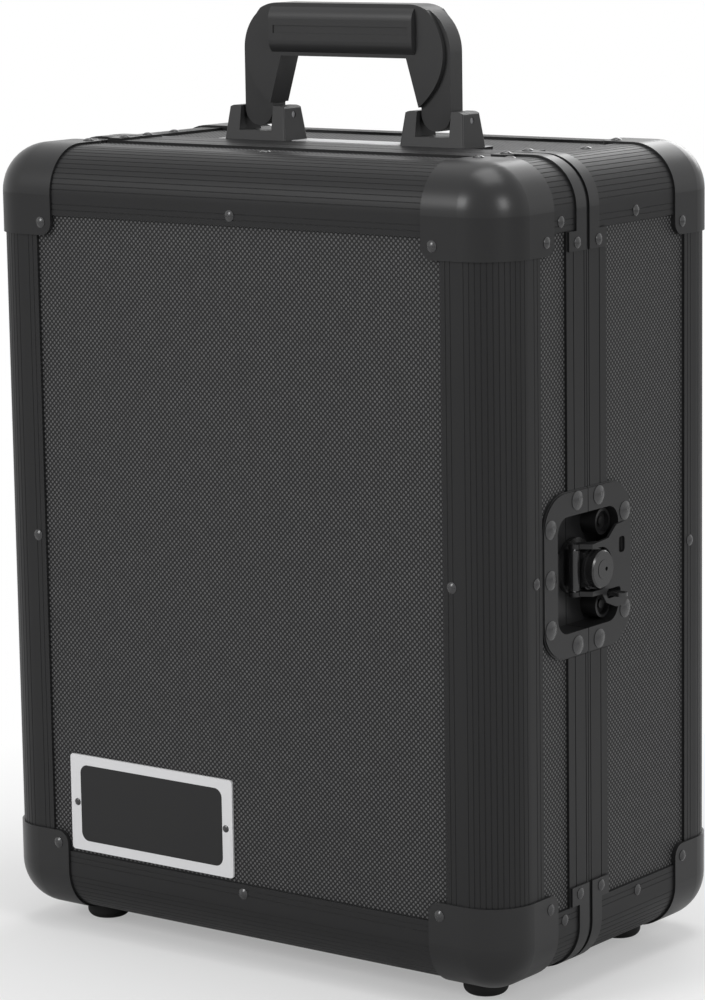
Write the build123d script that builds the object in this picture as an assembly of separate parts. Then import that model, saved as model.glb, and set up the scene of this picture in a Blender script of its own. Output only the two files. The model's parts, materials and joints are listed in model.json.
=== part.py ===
import os
from math import cos, radians, sin

from build123d import *

# Whole case, in millimetres. X is across the front, Y runs from the lid to the back, Z is up.
case_width = 340.0
case_height = 425.0
lid_depth = 77.5
base_depth = 130.0
foot_height = 11.0
parting_gap = 0.5

# Edge extrusions
edge_radius = 25.0
rail_leg = 36.0
rail_skin = 1.5
rail_lip = 1.5
groove_radius = 0.25
groove_pitch = 3.0
leg_groove_inset = 3.0
joint_gap = 0.2

# Panels
panel_thickness = 6.5

# Rims at the parting plane
rim_flange = 6.0
rim_leg = 18.0
tongue_height = 3.0
tongue_width = 2.5
tongue_inset = 4.1
groove_clearance = 1.0
rim_line_starts = (1.6, 11.4)
rim_line_width = 0.6
rim_line_depth = 0.3

# Corner caps
cap_skin = 1.2
cap_reach = 47.0
cap_seat = 0.05
cap_ear_radius = 7.0
cap_rivet_inset = 40.0

# Straps over the rim corners
strap_skin = 1.2
strap_seam = 1.2
strap_band = 9.0
strap_ear_depth = 15.8
strap_reach = 46.6
strap_ear_start = 36.4
strap_rivet_inset = 42.3
strap_rivet_depth = 9.6

# Rivets
rivet_head = 3.0
rivet_height = 1.3
rivet_shank = 1.5
rivet_length = 5.0
rail_rivet_inset = 30.8
lid_rivet_along = 22.5
base_rivet_along = 46.5
rivet_edge = 0.2
hole_clearance = 0.05

# Feet
foot_radius = 12.0
foot_sole_radius = 8.0
foot_inset = 40.0
foot_shoulder = 4.1
foot_screw_head_height = 1.8
foot_slot_length = 5.0
foot_slot_width = 1.0
foot_slot_depth = 0.7
foot_screw_head = 3.5
foot_screw_sink = 4.0
foot_screw_length = 14.0

# Foam lining
lining_thickness = 8.0
pad_thickness = 12.0
soft_gap = 0.3

# Name plate
plate_width = 114.0
plate_height = 54.0
plate_left = 49.2
plate_bottom = 38.0
plate_thickness = 1.2
plate_border_side = 7.0
plate_border_end = 5.5
plate_field_sink = 0.4
plate_corner = 5.0
plate_outer_corner = 2.0
plate_rivet_inset = 4.6
plate_rivet = (2.0, 0.8, 1.2, 4.0)

# Handle
handle_back_from_parting = 29.8
bracket_spacing = 119.0
bracket_width = 42.0
bracket_depth = 20.5
bracket_height = 20.0
bracket_top_width = 38.0
bracket_top_depth = 15.0
bracket_corner = 5.0
bracket_sill = 6.5
bracket_slot_clearance = 1.6
handle_plate_width = 172.0
handle_plate_depth = 22.0
handle_plate_thickness = 1.5
handle_plate_corner = 3.0
bail_leg_width = 19.0
bail_leg_depth = 11.0
bail_height = 76.0
bail_grip_height = 28.5
bail_grip_depth = 22.0
bail_swell_depth = 16.0
bail_swell_middle = 50.0
bail_swell_reach = 43.0
bail_swell_inset = 3.0
bail_corner = 25.0
bail_throat = 84.0
bail_bottom = 9.2
pivot_height = 15.2
pivot_radius = 1.75
pivot_clearance = 0.05
grip_panel_width = 90.0
grip_panel_sink = 0.6
handle_screw_radius = 2.0
handle_screw_head = 3.6
handle_screw_spread = 32.0
backing_thickness = 1.5

# Latch dish
dish_width = 82.4
dish_height = 87.0
dish_corner = 20.0
dish_proud = 2.0
dish_open_width = 56.4
dish_open_height = 61.0
dish_open_corner = 9.0
dish_depth = 14.0
dish_wall = 1.5
dish_rivet_head = 5.0
dish_rivet_height = 1.4
dish_post_radius = 7.0
dish_post_height = 9.5
dish_post_y = 20.2
dish_post_z = 22.0

# Latch mechanism, measured from the middle of the dish
rotor_y = 5.2
rotor_disc_radius = 15.0
rotor_disc_thickness = 2.5
rotor_floor_gap = 0.4
rotor_shaft_radius = 4.0
rotor_nose = 17.5
rotor_body_half = 10.6
rotor_body_corner = 3.0
lock_ring_radius = 10.6
lock_ring_height = 1.5
lock_face_radius = 10.0
lock_proud = 6.0
plug_radius = 5.0
plug_depth = 9.0
keyway_radius = 1.1
keyway_offset = 2.4
retainer_radius = 8.0
retainer_thickness = 1.5
leaf_lift = 1.8
leaf_thickness = 1.5
leaf_edge_y = 35.4
leaf_pivot_y = -5.0
leaf_pivot_sink = 5.5
leaf_eye_radius = 3.0
leaf_cheek = 2.5
leaf_pin_radius = 1.2
leaf_side_gap = 0.6
leaf_wing_above = ((21.5, 20.8), (29.5, 21.6))
leaf_wing_below = ((29.5, -22.6), (21.5, -22.6), (12.0, -19.0))
leaf_slot = (5.6, 8.5, 26.5, 9.7)
leaf_slot_corner = 2.0
keeper_gap = 0.5
keeper_height = 4.5
keeper_width = 18.0
keeper_thickness = 1.6
staple_y = 17.0
staple_z = -14.6
staple_length = 7.0
staple_thickness = 2.0
staple_rise = 9.0
staple_hole = 2.3
staple_arm_thickness = 2.4

# Hinges on the left side
hinge_length = 60.0
hinge_spread = 250.0
hinge_offset = 4.5
hinge_barrel_radius = 4.0
hinge_pin_radius = 2.0
hinge_leaf_thickness = 1.5
hinge_leaf_width = 26.0
hinge_knuckle_gap = 0.3
hinge_rivet_rows = (9.0, 21.6)
hinge_rivet_end = 8.0
hinge_rivet_head = 2.6
hinge_rivet_height = 1.0
hinge_pin_cap = 1.2

# Places that follow from the sizes above
case_depth = lid_depth + base_depth
parting_y = -case_depth / 2 + lid_depth
body_bottom = foot_height
body_top = foot_height + case_height
body_middle = foot_height + case_height / 2
side_x = case_width / 2
wall = rail_skin + panel_thickness + rail_lip
rail_stop = rail_leg + joint_gap

shank_holes = []


def rounded_slab(width, height, radius, depth):
    """A slab in the XZ plane with rounded corners, from y = 0 towards +Y."""
    outline = Plane.XZ * RectangleRounded(width, height, radius)
    return extrude(outline, -depth)


def block(low, high):
    size = [high[i] - low[i] for i in range(3)]
    middle = [(high[i] + low[i]) / 2 for i in range(3)]
    return Pos(*middle) * Box(*size)


def rod(start, direction, radius, length):
    plane = Plane(origin=start, z_dir=direction)
    return extrude(plane * Circle(radius), length)


def group(solids):
    return Compound(children=[part for item in solids for part in item.solids()])


def corner_cut(side, radius):
    """What a rounded corner leaves out of a square corner at the origin."""
    square = Pos(side / 2, side / 2) * Rectangle(side, side)
    lost = Pos(radius / 2, radius / 2) * Rectangle(radius, radius)
    return square - (lost - Pos(radius, radius) * Circle(radius))


def edge_section():
    """Section of the hollow edge extrusion, with its corner at the origin."""
    outer = corner_cut(rail_leg, edge_radius)
    inner = Pos(rail_skin, rail_skin) * corner_cut(rail_leg, edge_radius - rail_skin)
    skin = outer - inner
    start = rail_skin + panel_thickness
    lip_side = rail_leg - start
    lip = Pos(start, start) * corner_cut(lip_side, rail_lip / 2)
    lip -= Pos(start + rail_lip, start + rail_lip) * corner_cut(lip_side, rail_lip / 2)
    web_length = panel_thickness + rail_skin
    web = Pos(edge_radius - rail_lip / 2, rail_skin / 2 + web_length / 2)
    web_one = web * Rectangle(rail_lip, web_length)
    web_two = mirror(web_one, Plane(origin=(0, 0, 0), z_dir=(1, -1, 0)))
    section = skin + lip + web_one + web_two
    arc_length = radians(90) * edge_radius
    steps = round(arc_length / groove_pitch)
    for step in range(1, steps):
        angle = radians(180 + 90 * step / steps)
        spot = (edge_radius + edge_radius * cos(angle), edge_radius + edge_radius * sin(angle))
        section -= Pos(*spot) * Circle(groove_radius)
    for inset in (leg_groove_inset, 2 * leg_groove_inset):
        section -= Pos(rail_leg - inset, 0) * Circle(groove_radius)
        section -= Pos(0, rail_leg - inset) * Circle(groove_radius)
    return section


def edge_bar(section, middle, inward_one, inward_two, length):
    """An extrusion whose corner runs through middle, square to both inward directions."""
    one, two = Vector(*inward_one), Vector(*inward_two)
    plane = Plane(origin=middle, x_dir=one, z_dir=one.cross(two))
    return extrude(plane * section, length / 2, both=True)


class Shell:
    """One half of the case. sign is +1 for the base and -1 for the lid."""

    def __init__(self, sign, depth):
        self.sign = sign
        self.depth = depth
        self.edge_y = parting_y + sign * parting_gap / 2
        self.face_y = parting_y + sign * depth

    def y(self, from_edge):
        return self.edge_y + self.sign * from_edge

    def slab(self, start, end, low_x, high_x, low_z, high_z):
        """A box between two distances from the shell's edge."""
        near, far = sorted((self.y(start), self.y(end)))
        return block((low_x, near, low_z), (high_x, far, high_z))

    def frame(self, start, end, inset_out, inset_in, outer_radius, inner_radius):
        """A rounded rectangular ring between two distances from the shell's edge."""
        near, far = sorted((self.y(start), self.y(end)))
        outer = rounded_slab(
            case_width - 2 * inset_out, case_height - 2 * inset_out, outer_radius, far - near
        )
        inner = rounded_slab(
            case_width - 2 * inset_in, case_height - 2 * inset_in, inner_radius, far - near
        )
        return Pos(0, near, body_middle) * (outer - inner)


def panels(shell, name):
    """The five laminated boards of one shell, held in the channels of the extrusions."""
    inner = rail_skin + panel_thickness
    edge = edge_radius
    far = shell.depth - parting_gap / 2 - edge
    near = rim_flange + joint_gap
    made = {}
    front = shell.sign * (shell.depth - rail_skin)
    back = shell.sign * (shell.depth - inner)
    low_y, high_y = sorted((parting_y + front, parting_y + back))
    made[name + "_face_panel"] = block(
        (-side_x + edge, low_y, body_bottom + edge), (side_x - edge, high_y, body_top - edge)
    )
    spans = {
        "top": (-side_x + edge, side_x - edge, body_top - inner, body_top - rail_skin),
        "bottom": (-side_x + edge, side_x - edge, body_bottom + rail_skin, body_bottom + inner),
        "left": (-side_x + rail_skin, -side_x + inner, body_bottom + edge, body_top - edge),
        "right": (side_x - inner, side_x - rail_skin, body_bottom + edge, body_top - edge),
    }
    for side, (low_x, high_x, low_z, high_z) in spans.items():
        made[f"{name}_{side}_panel"] = shell.slab(near, far, low_x, high_x, low_z, high_z)
    made[name + "_right_panel"] -= dish_pan_space(joint_gap + 0.3)
    return made


def perimeter_rails(shell, name, section):
    """The four extrusions round the face of one shell."""
    inward = (0, -shell.sign, 0)
    across = case_width - 2 * rail_stop
    upright = case_height - 2 * rail_stop
    y = shell.face_y
    return {
        name + "_top_rail": edge_bar(section, (0, y, body_top), inward, (0, 0, -1), across),
        name + "_bottom_rail": edge_bar(section, (0, y, body_bottom), inward, (0, 0, 1), across),
        name + "_left_rail": edge_bar(section, (-side_x, y, body_middle), inward, (1, 0, 0), upright),
        name + "_right_rail": edge_bar(section, (side_x, y, body_middle), inward, (-1, 0, 0), upright),
    }


def depth_rails(shell, section):
    """The four short extrusions that run from the rim to the face corners."""
    start = rim_flange + joint_gap
    end = shell.depth - parting_gap / 2 - rail_stop
    middle_y = shell.y((start + end) / 2)
    bars = []
    for x_sign in (-1, 1):
        for z, z_in in ((body_bottom, 1), (body_top, -1)):
            corner = (x_sign * side_x, middle_y, z)
            bars.append(edge_bar(section, corner, (-x_sign, 0, 0), (0, 0, z_in), end - start))
    return group(bars)


def rim(shell):
    """Four mitred rim extrusions; the right one is cut in two by the latch dish."""
    ring = shell.frame(0, rim_flange, 0, wall, edge_radius, edge_radius - wall)
    reach = rail_stop
    for inset in (0, rail_skin + panel_thickness):
        thick = rail_skin if inset == 0 else rail_lip
        tall = body_top - reach, body_bottom + reach
        for x_sign in (-1, 1):
            outer, inner = x_sign * (side_x - inset), x_sign * (side_x - inset - thick)
            low, high = sorted((outer, inner))
            ring += shell.slab(rim_flange, rim_leg, low, high, tall[1], tall[0])
        wide = side_x - reach
        ring += shell.slab(
            rim_flange, rim_leg, -wide, wide, body_top - inset - thick, body_top - inset
        )
        ring += shell.slab(
            rim_flange, rim_leg, -wide, wide, body_bottom + inset, body_bottom + inset + thick
        )
    if shell.sign > 0:
        low = tongue_inset - groove_clearance
        high = tongue_inset + tongue_width + groove_clearance
        depth = tongue_height + groove_clearance - parting_gap
        ring -= shell.frame(0, depth, low, high, edge_radius - low, edge_radius - high)
    else:
        inner = tongue_inset + tongue_width
        ring += shell.frame(
            -tongue_height, 0, tongue_inset, inner, edge_radius - tongue_inset, edge_radius - inner
        )
    for start in rim_line_starts:
        ring -= shell.frame(
            start, start + rim_line_width, -1, rim_line_depth, edge_radius, edge_radius - rim_line_depth
        )
    ring -= dish_outline_space(joint_gap)
    return mitred(ring, joint_gap)


def mitred(ring, gap):
    """Cuts a ring round the case into its four sides, with a gap at each mitre."""
    half, run, past = case_height / 2, case_width / 2, 5
    centre = Pos(0, 0, body_middle)
    pieces = []
    for side in (-1, 1):
        upright = Polyline(
            (side * (run + past), half + past - gap),
            (side * (run + past), -half - past + gap),
            (side * (run - half + gap), 0),
            close=True,
        )
        across = Polyline(
            (run + past - gap, side * (half + past)),
            (-run - past + gap, side * (half + past)),
            (0, side * (half - run + gap)),
            close=True,
        )
        for outline in (upright, across):
            wedge = extrude(make_face(Plane.XZ * outline), case_depth, both=True)
            pieces.append(ring & (centre * wedge))
    return group(pieces)


def corner_caps(shell):
    """Pressed ball corners over the three extrusions that meet at each face corner."""
    r = edge_radius
    grown = cap_skin
    depth = 2 * shell.depth
    box = Box(case_width + 2 * cap_seat, depth + 2 * cap_seat, case_height + 2 * cap_seat)
    inner = fillet(box.edges(), r + cap_seat)
    big = Box(case_width + 2 * grown, depth + 2 * grown, case_height + 2 * grown)
    outer = fillet(big.edges(), r + grown)
    centre = (0, shell.face_y - shell.sign * depth / 2, body_middle)
    skin = Pos(*centre) * (outer - inner)
    ear = rail_stop
    caps = []
    for x_sign in (-1, 1):
        for z_sign in (-1, 1):
            corner = (x_sign * side_x, shell.face_y, body_middle + z_sign * case_height / 2)
            inward = (-x_sign, -shell.sign, -z_sign)
            reach = cap_column(corner, inward, cap_reach, -grown - 1, cap_ear_radius)
            cap = skin & reach[0] & reach[1] & reach[2]
            for axis in range(3):
                low, high = [0, 0, 0], [0, 0, 0]
                for i in range(3):
                    span = (-grown / 2, rail_skin) if i == axis else (ear, cap_reach)
                    ends = [corner[i] + inward[i] * s for s in span]
                    low[i], high[i] = min(ends), max(ends)
                cap += block(low, high) & reach[axis]
            caps.append(cap)
    return group(caps)


def cap_column(corner, inward, side, start, radius):
    """Three square columns with one rounded edge, one along each axis, at a corner."""
    columns = []
    length = side + abs(start)
    for axis in range(3):
        middle = [corner[i] + inward[i] * (side + start) / 2 for i in range(3)]
        column = Pos(*middle) * Box(length, length, length)
        edge = column.edges().filter_by((Axis.X, Axis.Y, Axis.Z)[axis])
        target = [corner[i] + inward[i] * side for i in range(3)]
        target[axis] = middle[axis]
        nearest = edge.sort_by_distance(target)[0]
        columns.append(fillet(nearest, radius))
    return columns


def rim_straps(shell):
    """Narrow straps round the rim corners, with a riveted ear at each end."""
    grown = strap_skin
    start, end = strap_seam, strap_seam + strap_band
    low = shell.frame(start, end, -grown, -cap_seat, edge_radius + grown, edge_radius + cap_seat)
    wide_end = start + strap_ear_depth
    ears = shell.frame(start, wide_end, -grown, -cap_seat, edge_radius + grown, edge_radius + cap_seat)
    straps = []
    for x_sign in (-1, 1):
        for z_sign in (-1, 1):
            reach = strap_reach + grown
            out_x = x_sign * (side_x + grown)
            out_z = body_middle + z_sign * (case_height / 2 + grown)
            near = sorted((out_x, out_x - x_sign * reach))
            high = sorted((out_z, out_z - z_sign * reach))
            corner = shell.slab(-1, rim_leg + 2, near[0], near[1], high[0], high[1])
            strap = low & corner
            begin = strap_ear_start + grown
            mid_x = sorted((out_x - x_sign * begin, out_x - x_sign * reach))
            mid_z = sorted((out_z - z_sign * begin, out_z - z_sign * reach))
            column_x = shell.slab(-1, rim_leg + 2, mid_x[0], mid_x[1], high[0], high[1])
            column_z = shell.slab(-1, rim_leg + 2, near[0], near[1], mid_z[0], mid_z[1])
            strap += (ears & column_x) + (ears & column_z)
            straps.append(strap)
    return group(straps)


def rivet(spot, outward, head=rivet_head, height=rivet_height, shank=rivet_shank, length=rivet_length):
    """A blind rivet: domed head on the surface at spot, shank behind it."""
    plane = Plane(origin=spot, z_dir=outward)
    rise = height * (1 - rivet_edge)
    dome = (head**2 + rise**2) / (2 * rise)
    disc = rod((0, 0, 0), (0, 0, 1), head, height)
    body = disc & (Pos(0, 0, height - dome) * Sphere(dome))
    body += rod((0, 0, -length), (0, 0, 1), shank, length)
    shank_holes.append((plane, shank + hole_clearance, length + hole_clearance))
    return plane * body


def side_directions():
    """Middle of each side of the case, its outward direction, and the direction along it."""
    return [
        (Vector(side_x, 0, 0), (1, 0, 0), (0, 0, 1), case_height / 2),
        (Vector(-side_x, 0, 0), (-1, 0, 0), (0, 0, 1), case_height / 2),
        (Vector(0, 0, case_height / 2), (0, 0, 1), (1, 0, 0), case_width / 2),
        (Vector(0, 0, -case_height / 2), (0, 0, -1), (1, 0, 0), case_width / 2),
    ]


def shell_rivets(shell, along):
    """Rivets of the extrusions, the corner caps and the rim straps of one shell."""
    made = []
    face_out = (0, shell.sign, 0)
    inset = rail_rivet_inset
    middle = Vector(0, 0, body_middle)
    for x_sign, z_sign in ((0, 1), (0, -1), (1, 0), (-1, 0)):
        x = x_sign * (side_x - inset)
        z = body_middle + z_sign * (case_height / 2 - inset)
        made.append(rivet((x, shell.face_y, z), face_out))
    for x_sign in (-1, 1):
        for z_sign in (-1, 1):
            x = x_sign * (side_x - cap_rivet_inset)
            z = body_middle + z_sign * (case_height / 2 - cap_rivet_inset)
            made.append(rivet((x, shell.face_y + shell.sign * cap_skin, z), face_out))
    for centre, out, run, half in side_directions():
        outward, run = Vector(*out), Vector(*run)
        base = centre + middle
        face_y = shell.face_y - shell.sign * inset
        side = base + Vector(0, face_y, 0)
        if out[2] <= 0 or shell.sign < 0:
            made.append(rivet(side, outward))
        for end in (-1, 1):
            spot = base + run * end * (half - inset) + Vector(0, shell.y(along), 0)
            made.append(rivet(spot, outward))
            spot = base + run * end * (half - strap_rivet_inset) + outward * strap_skin
            made.append(rivet(spot + Vector(0, shell.y(strap_rivet_depth), 0), outward))
            if out[2] < 0:
                continue
            spot = base + run * end * (half - cap_rivet_inset) + outward * cap_skin
            spot += Vector(0, shell.face_y - shell.sign * cap_rivet_inset, 0)
            made.append(rivet(spot, outward))
    return made


def feet(shell):
    """Rubber feet under the two lower corner caps, with the screws that hold them."""
    rubber, screws = [], []
    for x_sign in (-1, 1):
        x = x_sign * (side_x - foot_inset)
        y = shell.face_y - shell.sign * foot_inset
        top = body_bottom - cap_skin
        low = foot_shoulder
        ring = foot_radius
        profile = Polyline((0, 0), (foot_sole_radius, 0))
        curve = ThreePointArc(
            (foot_sole_radius, 0),
            (foot_sole_radius + (ring - foot_sole_radius) * 0.72, low * 0.36),
            (ring, low),
        )
        rest = Polyline((ring, low), (ring, top), (0, top), (0, 0))
        foot = revolve(make_face(Plane.XZ * (profile + curve + rest)), Axis.Z)
        bore = rod((0, 0, foot_screw_sink), (0, 0, 1), rivet_shank + hole_clearance, top)
        sink = rod((0, 0, 0), (0, 0, 1), foot_screw_head + hole_clearance, foot_screw_sink)
        rubber.append(Pos(x, y, 0) * (foot - bore - sink))
        under = foot_screw_sink - foot_screw_head_height
        head = rod((0, 0, under), (0, 0, 1), foot_screw_head, foot_screw_head_height)
        shank = rod((0, 0, foot_screw_sink), (0, 0, 1), rivet_shank, foot_screw_length)
        slot = Pos(0, 0, under) * Box(foot_slot_length, foot_slot_width, 2 * foot_slot_depth)
        screws.append(Pos(x, y, 0) * (head + shank - slot))
        plane = Plane(origin=(x, y, foot_screw_sink + foot_screw_length), z_dir=(0, 0, 1))
        shank_holes.append((plane, rivet_shank + hole_clearance, foot_screw_length))
    return group(rubber), group(screws)


def linings(shell, name):
    """Foam on the four inner sides and on the inner face of one shell."""
    inner = wall + soft_gap
    floor = shell.depth - parting_gap / 2 - wall - soft_gap
    width, height = case_width - 2 * inner, case_height - 2 * inner
    radius = edge_radius - inner
    pad = Pos(0, 0, body_middle) * rounded_slab(width, height, radius, pad_thickness)
    pad = Pos(0, min(shell.y(floor), shell.y(floor - pad_thickness)), 0) * pad
    end = floor - pad_thickness - soft_gap
    deep = inner + lining_thickness
    ring = shell.frame(soft_gap, end, inner, deep, radius, radius - lining_thickness)
    ring -= dish_pan_space(1.0)
    if shell.sign > 0:
        panel, y = handle_levels()
        sunk = panel - panel_thickness - backing_thickness - handle_screw_head
        half = handle_plate_depth / 2 + soft_gap
        reach = handle_plate_width / 2 + soft_gap
        ring -= block((-reach, y - half, sunk), (reach, y + half, panel))
    return {name + "_face_foam": pad, name + "_side_foam": mitred(ring, soft_gap)}


def dish_spot(y, z, out=0.0):
    """A point near the latch, from the middle of the dish; out is outward of the side face."""
    return (side_x + out, parting_y + y, body_middle + z)


def side_slab(width, height, radius, low_out, high_out, y=0.0, z=0.0):
    """A rounded plate parallel to the right side, between two distances outward of it."""
    plane = Plane(origin=dish_spot(y, z, low_out), x_dir=(0, 1, 0), z_dir=(1, 0, 0))
    return extrude(plane * RectangleRounded(width, height, radius), high_out - low_out)


def dish_outline_space(clearance):
    return side_slab(
        dish_width + 2 * clearance,
        dish_height + 2 * clearance,
        dish_corner + clearance,
        -wall - 5,
        10,
    )


def dish_pan_space(clearance):
    grown = 2 * (dish_wall + clearance)
    return side_slab(
        dish_open_width + grown,
        dish_open_height + grown,
        dish_open_corner + dish_wall + clearance,
        -3 * wall,
        10,
    )


dish_rivets = {
    -1: [(-34.6, -26.0), (-34.6, 0.0), (-34.6, 26.0), (-10.0, 37.8), (-10.0, -37.8)],
    1: [(34.6, -26.0), (34.6, 0.0), (34.6, 26.0), (10.0, 37.8), (10.0, -37.8)],
}


def latch_dish(shell):
    """One half of the recessed latch dish, with its flange, pan and seat for the other half."""
    back = -rail_skin
    front = back + dish_proud
    floor = front - dish_depth
    flange = side_slab(dish_width, dish_height, dish_corner, back, front)
    pan = side_slab(
        dish_open_width + 2 * dish_wall,
        dish_open_height + 2 * dish_wall,
        dish_open_corner + dish_wall,
        floor - dish_wall,
        back,
    )
    hollow = side_slab(dish_open_width, dish_open_height, dish_open_corner, floor, front + 1)
    dish = flange + pan - hollow
    rim_seat = side_slab(dish_width, dish_height, dish_corner, front - 0.6, front + 1)
    rim_seat -= side_slab(dish_width - 1.6, dish_height - 1.6, dish_corner - 0.8, front - 0.6, front + 1)
    dish -= rim_seat
    if shell.sign > 0:
        for z in (-dish_post_z, dish_post_z):
            spot = dish_spot(dish_post_y, z, floor)
            post = rod(spot, (1, 0, 0), dish_post_radius, dish_post_height)
            top = dish_spot(dish_post_y, z, floor + dish_post_height - 2.5)
            post -= rod(top, (1, 0, 0), dish_post_radius - 1.5, 5)
            post += rod(spot, (1, 0, 0), dish_post_radius / 3, dish_post_height - 1)
            dish += post
        spot = dish_spot(rotor_y, 0, floor - 2 * dish_wall)
        dish -= rod(spot, (1, 0, 0), rotor_shaft_radius + pivot_clearance, 4 * dish_wall)
    else:
        lip_y = rotor_y - rotor_nose - keeper_gap
        low = dish_spot(lip_y - keeper_thickness, -keeper_width / 2, floor - 0.2)
        high = dish_spot(lip_y, keeper_width / 2, floor + keeper_height)
        dish += block(low, high)
    half = shell.slab(0, case_depth, 0, 2 * side_x, 0, body_top)
    dish &= half
    heads = []
    for y, z in dish_rivets[shell.sign]:
        heads.append(
            rivet(dish_spot(y, z, front), (1, 0, 0), dish_rivet_head, dish_rivet_height, 2.0, 9.0)
        )
    return dish, heads


def latch_levels():
    front = dish_proud - rail_skin
    floor = front - dish_depth
    disc = floor + rotor_floor_gap
    leaf_low = front + leaf_lift
    return front, floor, disc, leaf_low


def latch_rotor():
    """The turning base of the latch: disc, lock housing, pivot barrel and retained shaft."""
    front, floor, disc, leaf_low = latch_levels()
    disc_top = disc + rotor_disc_thickness
    centre = dish_spot(rotor_y, 0, disc)
    rotor = rod(centre, (1, 0, 0), rotor_disc_radius, rotor_disc_thickness)
    nose = side_slab(2 * rotor_nose, 12, 3, disc, disc_top, rotor_y)
    nose &= block(dish_spot(rotor_y - rotor_nose, -10, disc - 1), dish_spot(rotor_y, 10, disc_top + 1))
    rotor += nose
    low_y = rotor_y - rotor_body_half + 3
    high_y = rotor_y + rotor_body_half
    housing = side_slab(
        high_y - low_y, 2 * rotor_body_half, rotor_body_corner, disc_top, front - 0.5, (high_y + low_y) / 2
    )
    rotor += housing
    rotor += rod(dish_spot(rotor_y, 0, front - 0.6), (1, 0, 0), lock_ring_radius, lock_ring_height)
    face = rod(dish_spot(rotor_y, 0, front), (1, 0, 0), lock_face_radius, lock_proud)
    face = chamfer(face.edges().group_by(Axis.X)[-1], 0.8)
    rotor += face
    pivot_out = front - leaf_pivot_sink
    barrel_start = dish_spot(leaf_pivot_y, -rotor_body_half, pivot_out)
    rotor += rod(barrel_start, (0, 0, 1), leaf_eye_radius, 2 * rotor_body_half)
    rotor += block(
        dish_spot(leaf_pivot_y, -rotor_body_half, pivot_out - 1.6),
        dish_spot(low_y + 3, rotor_body_half, pivot_out + 1.6),
    )
    hole_start = dish_spot(leaf_pivot_y, -2 * rotor_body_half, pivot_out)
    rotor -= rod(hole_start, (0, 0, 1), leaf_pin_radius + pivot_clearance, 4 * rotor_body_half)
    shaft_back = floor - dish_wall - retainer_thickness - 0.6
    shaft = rod(dish_spot(rotor_y, 0, shaft_back), (1, 0, 0), rotor_shaft_radius, disc - shaft_back + 0.5)
    rotor += shaft
    bore_start = dish_spot(rotor_y, 0, front + lock_proud - plug_depth)
    rotor -= rod(bore_start, (1, 0, 0), plug_radius + pivot_clearance, plug_depth + 1)
    arm_top = front - 0.9
    arm = side_slab(
        staple_length, 9, 1.5, arm_top - staple_arm_thickness, arm_top, staple_y, staple_z + 3.5
    )
    bridge = block(
        dish_spot(rotor_y + 5, -rotor_body_half, arm_top - staple_arm_thickness),
        dish_spot(staple_y + 2, -rotor_body_half + 4, arm_top),
    )
    return rotor + arm + bridge


def latch_staple():
    """The eye for a padlock, standing on the rotor's arm through the leaf."""
    front, floor, disc, leaf_low = latch_levels()
    foot_out = front - 0.9
    half = staple_length / 2
    tall = leaf_low + leaf_thickness + staple_rise - foot_out
    plane = Plane(
        origin=dish_spot(staple_y, staple_z - staple_thickness / 2, foot_out),
        x_dir=(0, 1, 0),
        z_dir=(0, 0, 1),
    )
    outline = Pos(0, -tall / 2) * Rectangle(staple_length, tall)
    plate = extrude(plane * outline, staple_thickness)
    tip = plate.edges().filter_by(Axis.Z).group_by(Axis.X)[-1]
    plate = fillet(tip, half - 0.2)
    eye_out = foot_out + tall - half
    eye = rod(dish_spot(staple_y, staple_z - 5, eye_out), (0, 0, 1), staple_hole, 10)
    return plate - eye


def latch_retainer():
    """The ring that keeps the rotor's shaft in the dish."""
    front, floor, disc, leaf_low = latch_levels()
    back = floor - dish_wall - retainer_thickness - 0.1
    spot = dish_spot(rotor_y, 0, back)
    ring = rod(spot, (1, 0, 0), retainer_radius, retainer_thickness)
    return ring - rod(spot, (1, 0, 0), rotor_shaft_radius, retainer_thickness)


def latch_plug():
    """The lock's turning plug with its off-centre keyway."""
    front, floor, disc, leaf_low = latch_levels()
    start = front + lock_proud - plug_depth + 0.2
    plug = rod(dish_spot(rotor_y, 0, start), (1, 0, 0), plug_radius, plug_depth)
    key = dish_spot(rotor_y + keyway_offset, 0, front + lock_proud - 4)
    plug -= rod(key, (1, 0, 0), keyway_radius, 8)
    return plug


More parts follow.
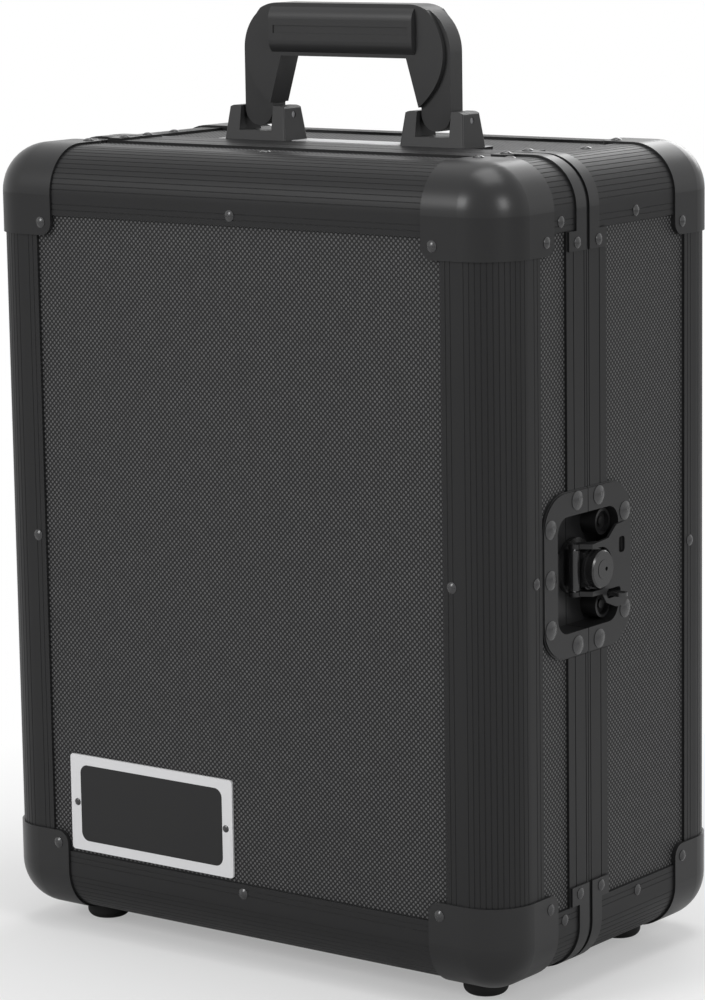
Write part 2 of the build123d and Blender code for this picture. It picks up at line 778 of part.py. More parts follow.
def latch_leaf():
    """The leaf that folds flat over the dish: plate, two cheeks with eyes, two slots."""
    front, floor, disc, leaf_low = latch_levels()
    plane = Plane(origin=dish_spot(0, 0, leaf_low), x_dir=(0, 1, 0), z_dir=(1, 0, 0))
    cheek_in = rotor_body_half + leaf_side_gap
    cheek_out = cheek_in + leaf_cheek
    edge = leaf_edge_y
    outline = Polyline(
        (leaf_pivot_y + 5, cheek_in),
        (leaf_pivot_y + 5, cheek_out),
        (14.0, cheek_out + 1.2),
        *leaf_wing_above,
        (edge, 16.0),
        (edge, -16.0),
        *leaf_wing_below,
        (8.0, -cheek_out),
        (leaf_pivot_y + 5, -cheek_out),
        (leaf_pivot_y + 5, -cheek_in),
        (3.0, -cheek_in),
        (3.0, cheek_in),
        close=True,
    )
    face = make_face(outline)
    throat = Pos(rotor_y + 1.3, 0) * Circle(cheek_in) + Pos(rotor_y - 8.7, 0) * Rectangle(20, 2 * cheek_in)
    face = face - throat
    plate = extrude(plane * face, leaf_thickness)
    slot_width, slot_height, slot_y, slot_z = leaf_slot
    slot = side_slab(
        slot_width, slot_height, leaf_slot_corner, leaf_low - 1, leaf_low + 3, slot_y, slot_z
    )
    slot_end = rotor_y + 20.1
    slot_start = 12.4
    low_slot = side_slab(
        slot_end - slot_start, 5.0, 2.0, leaf_low - 1, leaf_low + 3, (slot_end + slot_start) / 2, staple_z
    )
    plate = plate - slot - low_slot
    pivot_out = front - leaf_pivot_sink
    eye_r = leaf_eye_radius
    top = leaf_low + leaf_thickness
    leaf = plate
    for z in (-cheek_out, cheek_in):
        side = Plane(origin=dish_spot(0, z, 0), x_dir=(1, 0, 0), z_dir=(0, 0, 1))
        wall_line = Polyline(
            (pivot_out - 1.5, leaf_pivot_y - 1.5),
            (top, leaf_pivot_y + 4.0),
            (top, 12.0),
            (leaf_low, 12.0),
            (pivot_out - eye_r + 0.8, leaf_pivot_y + 2.0),
            close=True,
        )
        cheek = make_face(wall_line) + Pos(pivot_out, leaf_pivot_y) * Circle(eye_r)
        leaf += extrude(side * cheek, leaf_cheek)
        hole = rod(dish_spot(leaf_pivot_y, z - 1, pivot_out), (0, 0, 1), leaf_pin_radius, leaf_cheek + 2)
        leaf -= hole
    return leaf


def latch_pin():
    front, floor, disc, leaf_low = latch_levels()
    half = rotor_body_half + leaf_side_gap + leaf_cheek
    start = dish_spot(leaf_pivot_y, -half, front - leaf_pivot_sink)
    return rod(start, (0, 0, 1), leaf_pin_radius, 2 * half)


def handle_levels():
    panel = body_top - rail_skin
    return panel, parting_y + handle_back_from_parting


def handle_bracket(x_sign):
    """A cast bracket with two cheeks and a low sill between them."""
    panel, y = handle_levels()
    x = x_sign * bracket_spacing / 2
    floor = panel + handle_plate_thickness
    tall = bracket_height - handle_plate_thickness
    low = Plane(origin=(x, y, floor)) * RectangleRounded(bracket_width, bracket_depth, 1.2)
    high = Plane(origin=(x, y, floor + tall)) * RectangleRounded(bracket_top_width, bracket_top_depth, 1.2)
    body = loft([low, high])
    outline = Pos(x, y, floor) * extrude(
        Plane.XZ * (Pos(0, tall / 2 - bracket_corner) * RectangleRounded(
            bracket_width + 2, tall + 2 * bracket_corner, bracket_corner + 2)),
        bracket_depth,
        both=True,
    )
    body &= outline
    slot = bail_leg_width + 2 * bracket_slot_clearance
    sill = panel + bracket_sill
    body -= block(
        (x - slot / 2, y - bracket_depth, sill), (x + slot / 2, y + bracket_depth, sill + 2 * tall)
    )
    pin = rod((x - bracket_width, y, panel + pivot_height), (1, 0, 0), pivot_radius, 2 * bracket_width)
    return body - pin


def handle_pins():
    panel, y = handle_levels()
    pins = []
    for x_sign in (-1, 1):
        x = x_sign * bracket_spacing / 2
        half = bracket_top_width / 2
        pins.append(rod((x - half, y, panel + pivot_height), (1, 0, 0), pivot_radius, 2 * half))
    return group(pins)


def handle_plate():
    """The thin plate under both brackets."""
    panel, y = handle_levels()
    return extrude(
        Plane(origin=(0, y, panel))
        * RectangleRounded(handle_plate_width, handle_plate_depth, handle_plate_corner),
        handle_plate_thickness,
    )


def handle_backing():
    """The steel strip inside the case that spreads the load of the handle's screws."""
    panel, y = handle_levels()
    low = panel - panel_thickness - backing_thickness
    return extrude(
        Plane(origin=(0, y, low))
        * RectangleRounded(handle_plate_width, handle_plate_depth, handle_plate_corner),
        backing_thickness,
    )


def handle_screws():
    """Screws from inside the case, through strip, panel and plate into the brackets."""
    panel, y = handle_levels()
    low = panel - panel_thickness - backing_thickness
    screws = []
    for x_sign in (-1, 1):
        for side in (-1, 1):
            x = x_sign * bracket_spacing / 2 + side * handle_screw_spread / 2
            head = rod((x, y, low - 1.6), (0, 0, 1), handle_screw_head, 1.6)
            length = panel - low + handle_plate_thickness + 4
            shank = rod((x, y, low), (0, 0, 1), handle_screw_radius, length)
            screws.append(head + shank)
            plane = Plane(origin=(x, y, low + length), z_dir=(0, 0, 1))
            shank_holes.append((plane, handle_screw_radius + hole_clearance, length))
    return group(screws)


def handle_bail():
    """The carrying bail: two legs and a thick grip, in one moulding."""
    panel, y = handle_levels()
    outer = bracket_spacing + bail_leg_width
    top = bail_height
    bottom = bail_bottom
    half = outer / 2
    leg = bail_leg_width
    under = bail_height - bail_grip_height
    grip_half = bail_throat / 2
    big = Pos(0, (top + bottom) / 2) * Rectangle(outer, top - bottom)
    big = fillet(big.vertices().group_by(Axis.Y)[-1], bail_corner)
    big = fillet(big.vertices().group_by(Axis.Y)[0], leg / 2 - 0.1)
    throat = make_face(
        Polyline(
            (-half + leg, bottom - 5),
            (half - leg, bottom - 5),
            (half - leg, bottom + 12),
            (grip_half, under),
            (-grip_half, under),
            (-half + leg, bottom + 12),
            close=True,
        )
    )
    outline = big - throat
    for x_sign in (-1, 1):
        toe = Pos(x_sign * (half - leg / 2), bottom + leg / 2)
        square = toe * (Pos(0, -leg / 4) * Rectangle(leg, leg / 2))
        outline = outline - (square - toe * Circle(leg / 2))
    legs = extrude(Plane.XZ * outline, bail_leg_depth / 2, both=True)
    grip_mid = (top + under) / 2
    section = Plane.YZ * Pos(0, grip_mid) * RectangleRounded(bail_grip_depth, bail_grip_height, 8.5)
    grip = extrude(section, half, both=True)
    swell = Pos(0, bail_swell_middle) * Ellipse(half - bail_swell_inset, bail_swell_reach)
    legs_fat = extrude(Plane.XZ * (swell & outline), bail_swell_depth / 2, both=True)
    shape = legs + legs_fat
    grip_zone = extrude(Plane.XZ * (Pos(0, grip_mid) * Rectangle(2 * grip_half + 12, 60)), 40, both=True)
    shape += grip & grip_zone & extrude(Plane.XZ * big, 40, both=True)
    for side in (-1, 1):
        low = sorted((side * (bail_grip_depth / 2 - grip_panel_sink), side * bail_grip_depth))
        face = block(
            (-grip_panel_width / 2, low[0], grip_mid - 2), (grip_panel_width / 2, low[1], top - 12)
        )
        shape -= face
    shape -= rod((-half - 5, 0, pivot_height), (1, 0, 0), pivot_radius + pivot_clearance, outer + 10)
    return Pos(0, y, panel) * shape


def hinge_z(end):
    return body_middle + end * hinge_spread / 2


def hinge_leaves(shell):
    """One leaf of each hinge; the base has the two outer knuckles, the lid the middle one."""
    leaves, heads = [], []
    axis_x = -side_x - hinge_offset
    third = hinge_length / 3
    clear = hinge_barrel_radius + hinge_knuckle_gap
    spans = [(0, 1), (2, 3)] if shell.sign > 0 else [(1, 2)]
    for end in (-1, 1):
        middle = hinge_z(end)
        low = middle - hinge_length / 2
        skin = (-side_x - hinge_leaf_thickness, -side_x)
        leaf = shell.slab(clear, hinge_leaf_width, *skin, low, low + hinge_length)
        for first, last in spans:
            start = low + first * third + (hinge_knuckle_gap if first else 0)
            stop = low + last * third - (hinge_knuckle_gap if last < 3 else 0)
            leaf += rod((axis_x, parting_y, start), (0, 0, 1), hinge_barrel_radius, stop - start)
            leaf += shell.slab(-parting_gap / 2, clear, *skin, start, stop)
        pin_hole = rod(
            (axis_x, parting_y, low - 1), (0, 0, 1), hinge_pin_radius + pivot_clearance, hinge_length + 2
        )
        leaf -= pin_hole
        leaves.append(leaf)
        for side in (-1, 1):
            for along in hinge_rivet_rows:
                z = middle + side * (hinge_length / 2 - hinge_rivet_end)
                spot = (-side_x - hinge_leaf_thickness, shell.y(along), z)
                heads.append(rivet(spot, (-1, 0, 0), hinge_rivet_head, hinge_rivet_height))
    return group(leaves), heads


def hinge_pins():
    axis_x = -side_x - hinge_offset
    pins = []
    for end in (-1, 1):
        low = hinge_z(end) - hinge_length / 2
        pin = rod((axis_x, parting_y, low), (0, 0, 1), hinge_pin_radius, hinge_length)
        for z in (low - hinge_pin_cap, low + hinge_length):
            pin += rod((axis_x, parting_y, z), (0, 0, 1), hinge_barrel_radius - 0.6, hinge_pin_cap)
        pins.append(pin)
    return group(pins)


def name_plate(shell):
    """A blank name plate with a raised border, on the lid's panel."""
    surface = shell.face_y + rail_skin
    low_x = -side_x + plate_left
    low_z = body_bottom + plate_bottom
    middle = (low_x + plate_width / 2, surface, low_z + plate_height / 2)
    plate = extrude(
        Plane(origin=middle, x_dir=(1, 0, 0), z_dir=(0, -1, 0))
        * RectangleRounded(plate_width, plate_height, plate_outer_corner),
        plate_thickness,
    )
    field_plane = Plane(
        origin=(middle[0], surface - plate_thickness + plate_field_sink, middle[2]),
        x_dir=(1, 0, 0),
        z_dir=(0, -1, 0),
    )
    field = extrude(
        field_plane
        * RectangleRounded(
            plate_width - 2 * plate_border_side, plate_height - 2 * plate_border_end, plate_corner
        ),
        plate_field_sink,
    )
    plate -= field
    heads = []
    for side in (-1, 1):
        x = middle[0] + side * (plate_width / 2 - plate_rivet_inset)
        spot = (x, surface - plate_thickness, middle[2])
        heads.append(rivet(spot, (0, -1, 0), *plate_rivet))
    return plate, field, heads


def drill(part):
    """Cuts every rivet and screw hole that reaches a piece."""
    box = part.bounding_box()
    bottom, top = tuple(box.min), tuple(box.max)
    for plane, radius, length in shank_holes:
        tip = plane.origin - plane.z_dir * length
        start, end = tuple(plane.origin), tuple(tip)
        low = [min(start[i], end[i]) - radius for i in range(3)]
        high = [max(start[i], end[i]) + radius for i in range(3)]
        inside = all(low[i] < top[i] and high[i] > bottom[i] for i in range(3))
        if inside:
            part -= extrude(Plane(origin=tip, z_dir=plane.z_dir) * Circle(radius), length)
    return part


def main():
    os.makedirs("parts", exist_ok=True)
    section = edge_section()
    nodes = {}
    for name, sign, depth, along in (
        ("base", 1, base_depth, base_rivet_along),
        ("lid", -1, lid_depth, lid_rivet_along),
    ):
        shell = Shell(sign, depth)
        solid = {}
        solid.update(panels(shell, name))
        solid.update(perimeter_rails(shell, name, section))
        solid[name + "_depth_rails"] = depth_rails(shell, section)
        solid[name + "_rim"] = rim(shell)
        solid[name + "_corner_caps"] = corner_caps(shell)
        solid[name + "_rim_straps"] = rim_straps(shell)
        rubber, screws = feet(shell)
        dish, dish_heads = latch_dish(shell)
        leaves, hinge_heads = hinge_leaves(shell)
        solid[name + "_latch_dish"] = dish
        solid[name + "_hinge_leaves"] = leaves
        rivets = shell_rivets(shell, along) + dish_heads + hinge_heads
        if sign < 0:
            plate, insert, plate_heads = name_plate(shell)
            solid["name_plate"] = plate
            nodes["name_plate_field"] = insert
            rivets += plate_heads
        else:
            solid["handle_left_bracket"] = handle_bracket(-1)
            solid["handle_right_bracket"] = handle_bracket(1)
            solid["handle_plate"] = handle_plate()
            solid["handle_backing"] = handle_backing()
            nodes["handle_screws"] = handle_screws()
            solid.update(linings(shell, name))
        if sign < 0:
            solid.update(linings(shell, name))
        for key, part in solid.items():
            nodes[key] = drill(part)
        nodes[name + "_feet"] = rubber
        nodes[name + "_foot_screws"] = screws
        nodes[name + "_rivets"] = group(rivets)
        shank_holes.clear()
        print(name, "done")
    nodes["handle_pins"] = handle_pins()
    nodes["handle_bail"] = handle_bail()
    nodes["hinge_pins"] = hinge_pins()
    nodes["latch_rotor"] = latch_rotor()
    nodes["latch_staple"] = latch_staple()
    nodes["latch_retainer"] = latch_retainer()
    nodes["latch_plug"] = latch_plug()
    nodes["latch_leaf"] = latch_leaf()
    nodes["latch_pin"] = latch_pin()
    for key, part in nodes.items():
        export_step(group([part]) if len(part.solids()) > 1 else part.solids()[0], f"parts/{key}.step")
    print(len(nodes), "nodes")


main()
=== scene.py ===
import json
from math import cos, radians, sin

import bpy
from mathutils import Matrix, Vector


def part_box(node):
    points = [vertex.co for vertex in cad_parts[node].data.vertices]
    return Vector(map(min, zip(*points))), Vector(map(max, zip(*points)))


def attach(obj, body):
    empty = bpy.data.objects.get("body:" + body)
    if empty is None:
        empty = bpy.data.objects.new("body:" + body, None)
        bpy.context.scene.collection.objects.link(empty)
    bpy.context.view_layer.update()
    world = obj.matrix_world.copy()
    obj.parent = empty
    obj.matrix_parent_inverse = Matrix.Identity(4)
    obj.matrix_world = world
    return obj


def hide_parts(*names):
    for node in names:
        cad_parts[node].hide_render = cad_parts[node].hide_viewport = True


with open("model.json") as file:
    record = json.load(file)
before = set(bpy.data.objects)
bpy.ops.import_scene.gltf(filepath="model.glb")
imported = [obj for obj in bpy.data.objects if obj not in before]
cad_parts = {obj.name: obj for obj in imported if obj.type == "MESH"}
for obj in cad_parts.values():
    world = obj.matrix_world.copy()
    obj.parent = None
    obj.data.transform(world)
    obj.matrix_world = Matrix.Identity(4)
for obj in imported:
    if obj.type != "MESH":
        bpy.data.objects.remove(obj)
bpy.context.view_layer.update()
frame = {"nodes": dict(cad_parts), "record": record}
mm = 0.001
print("frame loaded")


class Wire:
    # A socket of a node tree, so that its maths reads as an expression.
    def __init__(self, owner, socket):
        self.owner = owner
        self.socket = socket

    def __add__(self, other):
        return self.owner.math("ADD", self, other)

    def __radd__(self, other):
        return self.owner.math("ADD", other, self)

    def __sub__(self, other):
        return self.owner.math("SUBTRACT", self, other)

    def __rsub__(self, other):
        return self.owner.math("SUBTRACT", other, self)

    def __mul__(self, other):
        return self.owner.math("MULTIPLY", self, other)

    def __rmul__(self, other):
        return self.owner.math("MULTIPLY", other, self)

    def __truediv__(self, other):
        return self.owner.math("DIVIDE", self, other)

    def __gt__(self, other):
        return self.owner.math("GREATER_THAN", self, other)


class Nodes:
    # The nodes of one material or of the world.
    def __init__(self, owner):
        owner.use_nodes = True
        self.tree = owner.node_tree

    def node(self, kind, settings, values, output=0):
        made = self.tree.nodes.new(kind)
        for key, value in settings.items():
            setattr(made, key, value)
        for key, value in values.items():
            if isinstance(value, Wire):
                self.tree.links.new(value.socket, made.inputs[key])
            else:
                made.inputs[key].default_value = value
        return Wire(self, made.outputs[output])

    def math(self, operation, *values):
        return self.node("ShaderNodeMath", {"operation": operation}, dict(enumerate(values)))

    def remap(self, value, start, stop, startValue, stopValue):
        span = {"From Min": start, "From Max": stop, "To Min": startValue, "To Max": stopValue}
        return self.node("ShaderNodeMapRange", {"clamp": True}, {"Value": value, **span})

    def outlet(self, kind, name):
        made = self.node(kind, {}, {}).socket.node
        return Wire(self, made.outputs[name])

    def surface(self, kind, wire):
        end = next(n for n in self.tree.nodes if n.type == kind)
        self.tree.links.new(wire.socket, end.inputs["Surface"])


class Finish(Nodes):
    # One material and the values that feed its shader.
    def __init__(self, name, colour, roughness, metallic=0.0, specular=0.5):
        self.material = bpy.data.materials.new(name)
        super().__init__(self.material)
        self.shader = next(n for n in self.tree.nodes if n.type == "BSDF_PRINCIPLED")
        self.shader.inputs["Base Color"].default_value = (*colour, 1.0)
        self.shader.inputs["Roughness"].default_value = roughness
        self.shader.inputs["Metallic"].default_value = metallic
        self.shader.inputs["Specular IOR Level"].default_value = specular
        self.material.diffuse_color = (*colour, 1.0)

    def feed(self, socket, wire):
        self.tree.links.new(wire.socket, self.shader.inputs[socket])

    def axes(self, output="Object"):
        # The place or the normal, whole and as its three numbers.
        place = self.node("ShaderNodeTexCoord", {}, {}, output)
        split = self.node("ShaderNodeSeparateXYZ", {}, {"Vector": place})
        outputs = split.socket.node.outputs
        return place, [Wire(self, outputs[index]) for index in range(3)]

    def noise(self, place, scale, detail=3.0):
        values = {"Vector": place, "Scale": scale, "Detail": detail}
        return self.node("ShaderNodeTexNoise", {}, values)

    def blend(self, factor, low, high):
        # 6, 7 and 2 are the colour sockets of the mix node.
        values = {"Factor": factor, 6: (*low, 1.0), 7: (*high, 1.0)}
        return self.node("ShaderNodeMix", {"data_type": "RGBA"}, values, 2)

    def bump(self, height, strength, distance):
        values = {"Height": height, "Strength": strength, "Distance": distance}
        self.feed("Normal", self.node("ShaderNodeBump", {}, values))


wear = {
    "cloudScale": 14.0,
    "glossSwing": 0.12,
    "grainScale": 900.0,
    "grainDepth": 0.2 * mm,
}


def plainFinish(name, colour, roughness, metallic=0.0, specular=0.5, grain=0.0):
    # A smooth finish with a little wear in its gloss, and a fine grain where one is given.
    made = Finish(name, colour, roughness, metallic, specular)
    place, _ = made.axes()
    cloud = made.noise(place, wear["cloudScale"])
    swing = wear["glossSwing"]
    made.feed("Roughness", roughness - swing / 2 + cloud * swing)
    if grain:
        made.bump(made.noise(place, wear["grainScale"]), grain, wear["grainDepth"])
    return made.material


laminate = {
    "colour": (0.02, 0.02, 0.0205),
    "roughness": 0.5,
    "specular": 0.2,
    "boardColour": (0.0105, 0.0105, 0.011),
    # the pale colour of the pips is a painted highlight
    "pipHighlightColour": (0.12, 0.12, 0.121),
    "pitch": 2.9 * mm,
    "pipEdge": 0.075,  # squared distance from a pip's middle, in pitches
    "pipCore": 0.02,
    "cloudScale": 160.0,
    "faintest": 0.55,
    "faintSwing": 0.5,
    "boardGloss": 0.56,
    "pipGloss": 0.12,
    "relief": 0.5,
    "reliefDepth": 0.25 * mm,
}


def laminateFinish():
    # Dark board with staggered raised pips, on whichever side of the case it faces; each pip has a
    # real bump and a painted highlight in its pale colour.
    made = Finish(
        "laminate", laminate["colour"], laminate["roughness"], specular=laminate["specular"]
    )
    place, (x, y, z) = made.axes()
    _, (normalX, _, normalZ) = made.axes("Normal")
    half = 0.5
    faceX = made.math("ABSOLUTE", normalX) > half
    faceZ = made.math("ABSOLUTE", normalZ) > half
    across = x + (y - x) * faceX
    upward = z + (y - z) * faceZ
    away = 100  # whole tiles, so that none is counted below zero
    pips = []
    for shift in (0.0, half):
        u = made.math("FRACT", across / laminate["pitch"] + (shift + away)) - half
        v = made.math("FRACT", upward / laminate["pitch"] + (shift + away)) - half
        pips.append(u * u + v * v)
    nearest = made.math("MINIMUM", *pips)
    pip = made.remap(nearest, laminate["pipEdge"], laminate["pipCore"], 0.0, 1.0)
    cloud = made.noise(place, laminate["cloudScale"])
    # The pale pip colour is a painted highlight, made patchy by the cloud.
    pipHighlight = pip * (laminate["faintest"] + cloud * laminate["faintSwing"])
    colour = made.blend(pipHighlight, laminate["boardColour"], laminate["pipHighlightColour"])
    made.feed("Base Color", colour)
    made.feed("Roughness", laminate["boardGloss"] - pip * laminate["pipGloss"])
    made.bump(pip, laminate["relief"], laminate["reliefDepth"])
    return made.material


extrusion = {
    "colour": (0.0145, 0.0145, 0.015),
    "roughness": 0.4,
    "metallic": 0.1,
    "specular": 0.22,
    "cloudScale": 12.0,
    "glossiest": 0.36,
    "glossSwing": 0.12,
    "grainScale": 420.0,
    "grain": 0.08,
    "grainDepth": 0.1 * mm,
}


def extrusionFinish():
    # Satin anodised metal with a fine, even grain.
    made = Finish(
        "anodised",
        extrusion["colour"],
        extrusion["roughness"],
        extrusion["metallic"],
        extrusion["specular"],
    )
    place, _ = made.axes()
    cloud = made.noise(place, extrusion["cloudScale"])
    made.feed("Roughness", extrusion["glossiest"] + cloud * extrusion["glossSwing"])
    grain = made.noise(place, extrusion["grainScale"])
    made.bump(grain, extrusion["grain"], extrusion["grainDepth"])
    return made.material


sponge = {
    "colour": (0.02, 0.02, 0.021),
    "roughness": 0.95,
    "cellScale": 700.0,
    "cellDetail": 4.0,
    "hollowShadeColour": (0.012, 0.012, 0.013),
    "raisedLitColour": (0.035, 0.035, 0.037),
    "relief": 0.6,
    "reliefDepth": 0.6 * mm,
}


def foamFinish():
    # Matt foam with fine cells, painted with shade in their hollows and light on their raised
    # tops.
    made = Finish("foam", sponge["colour"], sponge["roughness"])
    place, _ = made.axes()
    cells = made.noise(place, sponge["cellScale"], sponge["cellDetail"])
    # Painted shade in the cell hollows and painted light on the raised cells, following the bump.
    colour = made.blend(cells, sponge["hollowShadeColour"], sponge["raisedLitColour"])
    made.feed("Base Color", colour)
    made.bump(cells, sponge["relief"], sponge["reliefDepth"])
    return made.material


# One finish for each material slot of the record.
finishes = {
    "laminate_panel": laminateFinish(),
    "black_extrusion": extrusionFinish(),
    "black_steel": plainFinish(
        "capCoat", (0.0155, 0.0155, 0.016), 0.31, metallic=0.08, specular=0.3, grain=0.04
    ),
    "rivet_metal": plainFinish("rivetCoat", (0.03, 0.03, 0.031), 0.24, metallic=0.2, specular=0.6),
    "foot_rubber": plainFinish("rubber", (0.01, 0.01, 0.01), 0.7, specular=0.3, grain=0.1),
    "lining_foam": foamFinish(),
    "handle_plastic": plainFinish(
        "bailPlastic", (0.026, 0.026, 0.0265), 0.36, specular=0.3, grain=0.04
    ),
    "bracket_plastic": plainFinish(
        "bracketPlastic", (0.024, 0.024, 0.0245), 0.42, specular=0.3, grain=0.05
    ),
    "plate_metal": plainFinish("plateBorder", (0.66, 0.66, 0.67), 0.42, metallic=0.35),
    "plate_field": plainFinish("plateField", (0.012, 0.012, 0.0125), 0.4, specular=0.25),
    "bright_steel": plainFinish("brightSteel", (0.6, 0.6, 0.61), 0.28, metallic=0.9),
    "dull_steel": plainFinish("dullSteel", (0.3, 0.3, 0.31), 0.45, metallic=0.9),
    "dark_zinc": plainFinish("darkZinc", (0.02, 0.02, 0.0205), 0.22, metallic=0.3, specular=0.7),
}

for row in frame["record"]["subparts"]:
    part = frame["nodes"][row["node"]]
    part.data.materials.clear()
    part.data.materials.append(finishes[row["material_slot"]])
    for polygon in part.data.polygons:
        polygon.material_index = 0
print("finishes done")


def deselect():
    for other in bpy.context.selected_objects:
        other.select_set(False)


def pick(piece):
    deselect()
    piece.select_set(True)
    bpy.context.view_layer.objects.active = piece


def settle(piece, name, body, slot):
    # Puts the piece's place into its mesh and gives it its finish and body.
    piece.name = piece.data.name = name
    pick(piece)
    bpy.ops.object.transform_apply(location=True, rotation=True, scale=True)
    piece.data.materials.clear()
    piece.data.materials.append(finishes[slot])
    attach(piece, body)


def middleOf(low, high):
    return [(low[i] + high[i]) / 2 for i in range(3)]


def addBlock(low, high):
    deselect()
    bpy.ops.mesh.primitive_cube_add(size=1.0, location=middleOf(low, high))
    piece = bpy.context.active_object
    piece.scale = [high[i] - low[i] for i in range(3)]
    bpy.ops.object.transform_apply(location=True, rotation=True, scale=True)
    return piece


def soften(piece, width, segments, smoothBelow=35):
    pick(piece)
    rounding = piece.modifiers.new("rounding", "BEVEL")
    rounding.width = width
    rounding.segments = segments
    rounding.limit_method = "ANGLE"
    bpy.ops.object.modifier_apply(modifier="rounding")
    bpy.ops.object.shade_smooth_by_angle(angle=radians(smoothBelow))


def carve(piece, low, high):
    cutter = addBlock(low, high)
    pick(piece)
    cut = piece.modifiers.new("cut", "BOOLEAN")
    cut.operation = "DIFFERENCE"
    cut.object = cutter
    bpy.ops.object.modifier_apply(modifier="cut")
    bpy.data.objects.remove(cutter)


foam = {
    "inset": 0.4 * mm,
    "thick": 7.4 * mm,
    "padEdge": 2.5 * mm,
    "stripEdge": 1.5 * mm,
    "edgeSteps": 3,
    "cuts": 20,
    "crown": 1.2 * mm,
    "crownPower": 6,  # the higher, the nearer to the edge the pad falls away
    "crownedFace": 0.99,  # share of the half thickness from which the face counts
}


def foamBox(node):
    # The box of a foam node, drawn in a little on every side.
    low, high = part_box(node)
    inset = foam["inset"]
    return [value + inset for value in low], [value - inset for value in high]


def facePad(node, name, body, towards):
    # The flat pad on a shell's inner face, crowned a little between its corners.
    low, high = foamBox(node)
    pad = addBlock(low, high)
    middle = middleOf(low, high)
    half = [(high[i] - low[i]) / 2 for i in range(3)]
    bpy.ops.object.mode_set(mode="EDIT")
    bpy.ops.mesh.select_all(action="SELECT")
    bpy.ops.mesh.subdivide(number_cuts=foam["cuts"])
    bpy.ops.object.mode_set(mode="OBJECT")
    for vertex in pad.data.vertices:
        outX = abs(vertex.co.x - middle[0]) / half[0]
        outZ = abs(vertex.co.z - middle[2]) / half[2]
        if (vertex.co.y - middle[1]) * towards > foam["crownedFace"] * half[1]:
            fall = max(outX, outZ) ** foam["crownPower"]
            vertex.co.y -= towards * foam["crown"] * fall
    soften(pad, foam["padEdge"], foam["edgeSteps"])
    settle(pad, name, body, "lining_foam")
    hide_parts(node)


def sideLining(node, name, body, dish, screws):
    # Four foam strips round the inside of a shell, meeting at the corners.
    low, high = foamBox(node)
    thick = foam["thick"]
    start, stop = low[0] + thick + foam["inset"], high[0] - thick - foam["inset"]
    strips = {
        "left": (low, (low[0] + thick, high[1], high[2])),
        "right": ((high[0] - thick, low[1], low[2]), high),
        "bottom": ((start, low[1], low[2]), (stop, high[1], low[2] + thick)),
        "top": ((start, low[1], high[2] - thick), (stop, high[1], high[2])),
    }
    pieces = []
    for side, (stripLow, stripHigh) in strips.items():
        strip = addBlock(stripLow, stripHigh)
        if side == "right":
            carve(strip, *dish)
        if side == "top" and screws:
            carve(strip, *screws)
        soften(strip, foam["stripEdge"], foam["edgeSteps"])
        pieces.append(strip)
    deselect()
    for strip in pieces:
        strip.select_set(True)
    bpy.context.view_layer.objects.active = pieces[0]
    bpy.ops.object.join()
    lining = bpy.context.active_object
    settle(lining, name, body, "lining_foam")
    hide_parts(node)


# What the linings leave free: the latch's dish, and the handle's screws with their strip.
cleared = {
    "partingY": -26.25 * mm,
    "handleBehind": 29.8 * mm,
    "middleZ": 223.5 * mm,
    "dishX": (0.14, 0.18),
    "dishHalfDepth": 31.2 * mm,
    "dishHalfHeight": 33.5 * mm,
    "screwsHalfWidth": 0.0869,
    "screwsHalfDepth": 11.8 * mm,
    "screwsZ": (0.4155, 0.445),
}


def spaceAround(xs, y, halfDepth, zs):
    return (xs[0], y - halfDepth, zs[0]), (xs[1], y + halfDepth, zs[1])


partingY, middleZ = cleared["partingY"], cleared["middleZ"]
handleY = partingY + cleared["handleBehind"]
tall, wide = cleared["dishHalfHeight"], cleared["screwsHalfWidth"]
dishZ = (middleZ - tall, middleZ + tall)
dishSpace = spaceAround(cleared["dishX"], partingY, cleared["dishHalfDepth"], dishZ)
screwSpace = spaceAround((-wide, wide), handleY, cleared["screwsHalfDepth"], cleared["screwsZ"])
facePad("base_face_foam", "baseFacePad", "base", -1)
facePad("lid_face_foam", "lidFacePad", "lid", 1)
sideLining("base_side_foam", "baseLining", "base", dishSpace, screwSpace)
sideLining("lid_side_foam", "lidLining", "lid", dishSpace, None)
print("foam done")

# A pale metal sheet on the dark handle plate between the brackets: a painted highlight standing in
# for the plate's gloss.
highlightSize = {
    "width": 72 * mm,
    "depth": 15 * mm,
    "thick": 0.25 * mm,
    "edge": 0.1 * mm,
    "edgeSteps": 2,
}
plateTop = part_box("handle_plate")[1][2]
strip = addBlock(
    (-highlightSize["width"] / 2, handleY - highlightSize["depth"] / 2, plateTop),
    (highlightSize["width"] / 2, handleY + highlightSize["depth"] / 2, plateTop + highlightSize["thick"]),
)
soften(strip, highlightSize["edge"], highlightSize["edgeSteps"])
settle(strip, "paintedHighlightStrip", "base", "plate_metal")
print("strip done")

# Fitted to the box in the photograph; angles in degrees, lens and sensor in mm.
camera = {
    "azimuth": 37.113,
    "elevation": 9.841,
    "roll": -0.882,
    "eye": (1.2054, -1.5947, 0.5872),
    "lens": 133.32,
    "sensorHeight": 36.0,
    "nearest": 0.05,
    "farthest": 50.0,
}
azimuth, elevation, roll = (radians(camera[key]) for key in ("azimuth", "elevation", "roll"))
flat = cos(elevation)
back = Vector((sin(azimuth) * flat, -cos(azimuth) * flat, sin(elevation)))
level = Vector((cos(azimuth), sin(azimuth), 0))
upright = back.cross(level)
right = cos(roll) * level + sin(roll) * upright
up = -sin(roll) * level + cos(roll) * upright
eye = bpy.data.objects.new("photoCamera", bpy.data.cameras.new("photoCamera"))
bpy.context.scene.collection.objects.link(eye)
turn = Matrix((right, up, back)).transposed().to_4x4()
eye.matrix_world = Matrix.Translation(camera["eye"]) @ turn
eye.data.sensor_fit = "VERTICAL"
eye.data.sensor_height = camera["sensorHeight"]
eye.data.lens = camera["lens"]
eye.data.clip_start = camera["nearest"]
eye.data.clip_end = camera["farthest"]
bpy.context.scene.camera = eye
bpy.context.scene.view_settings.view_transform = "Standard"

whiteness = (1.0, 1.0, 1.0, 1.0)
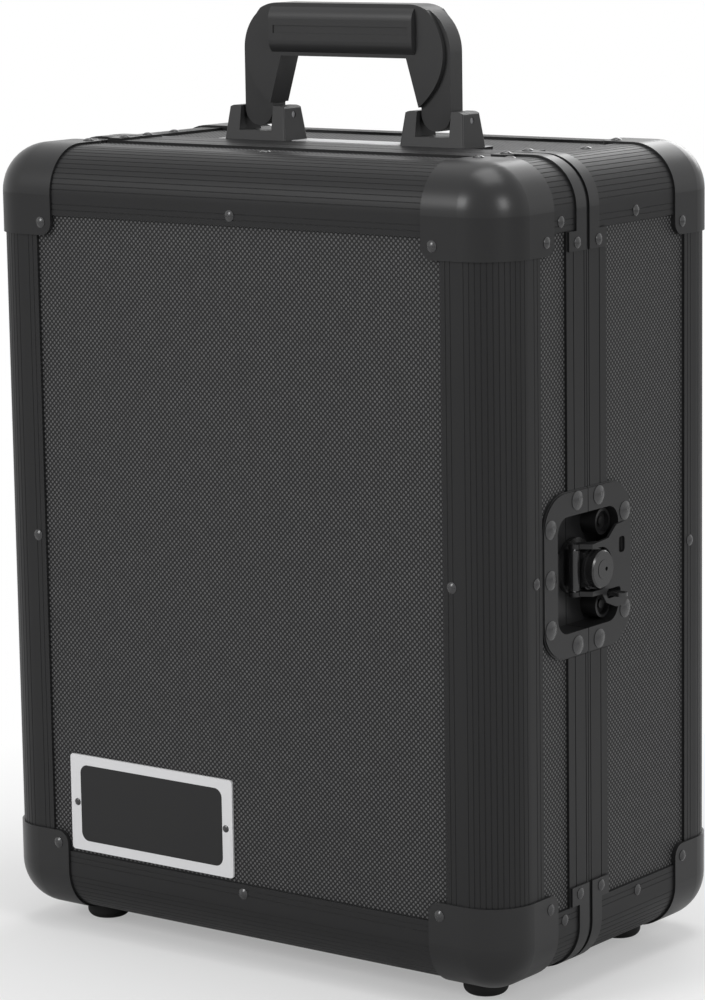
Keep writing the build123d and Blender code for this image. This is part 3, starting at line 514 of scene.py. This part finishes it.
# The paper fades to plain white for the camera from clearStart to clearStop.
ground = {
    "size": 14.0,
    "colour": (0.8, 0.8, 0.8),
    "roughness": 0.9,
    "clearStart": 0.24,
    "clearStop": 0.5,
    "leastClear": 0.35,
    "glow": 1.0,
}
deselect()
bpy.ops.mesh.primitive_plane_add(size=ground["size"], location=(0, 0, 0))
floor = bpy.context.active_object
floor.name = "floor"
paper = Finish("paper", ground["colour"], ground["roughness"])
_, (paperX, paperY, _) = paper.axes()
away = paper.math("SQRT", paperX * paperX + paperY * paperY)
clear = paper.remap(away, ground["clearStart"], ground["clearStop"], ground["leastClear"], 1.0)
glow = paper.node("ShaderNodeEmission", {}, {"Color": whiteness, "Strength": ground["glow"]})
matt = Wire(paper, paper.shader.outputs[0])
seen = paper.outlet("ShaderNodeLightPath", "Is Camera Ray")
mixed = paper.node("ShaderNodeMixShader", {}, {0: clear * seen, 1: matt, 2: glow})
paper.surface("OUTPUT_MATERIAL", mixed)
floor.data.materials.append(paper.material)

softboxes = {
    "keyLeft": {"place": (-0.9, -2.3, 1.5), "size": (0.9, 0.9), "power": 30},
    "keyRight": {"place": (2.2, -0.6, 1.3), "size": (0.7, 0.9), "power": 19},
    "overhead": {"place": (0.1, 0.2, 2.4), "size": (1.6, 1.2), "power": 26},
    "behind": {"place": (-0.4, 2.2, 1.2), "size": (1.2, 1.0), "power": 14},
}
caseMiddle = Vector((0.0, 0.0, 0.22))
for name, box in softboxes.items():
    lamp = bpy.data.lights.new(name, "AREA")
    lamp.shape = "RECTANGLE"
    lamp.size, lamp.size_y = box["size"]
    lamp.energy = box["power"]
    holder = bpy.data.objects.new(name, lamp)
    bpy.context.scene.collection.objects.link(holder)
    holder.location = box["place"]
    aim = caseMiddle - Vector(box["place"])
    holder.rotation_euler = aim.to_track_quat("-Z", "Y").to_euler()

# White where it is seen or mirrored, and dim where it only lights.
studio = {"seen": 1.0, "lighting": 0.3}
world = bpy.data.worlds.new("studio")
bpy.context.scene.world = world
sky = Nodes(world)
direct, mirrored, through = (
    sky.outlet("ShaderNodeLightPath", kind)
    for kind in ("Is Camera Ray", "Is Glossy Ray", "Is Transmission Ray")
)
anyRay = sky.math("MAXIMUM", sky.math("MAXIMUM", direct, mirrored), through)
dim, white = (
    sky.node("ShaderNodeBackground", {}, {"Color": whiteness, "Strength": studio[use]})
    for use in ("lighting", "seen")
)
sky.surface("OUTPUT_WORLD", sky.node("ShaderNodeMixShader", {}, {0: anyRay, 1: dim, 2: white}))
print("studio done")
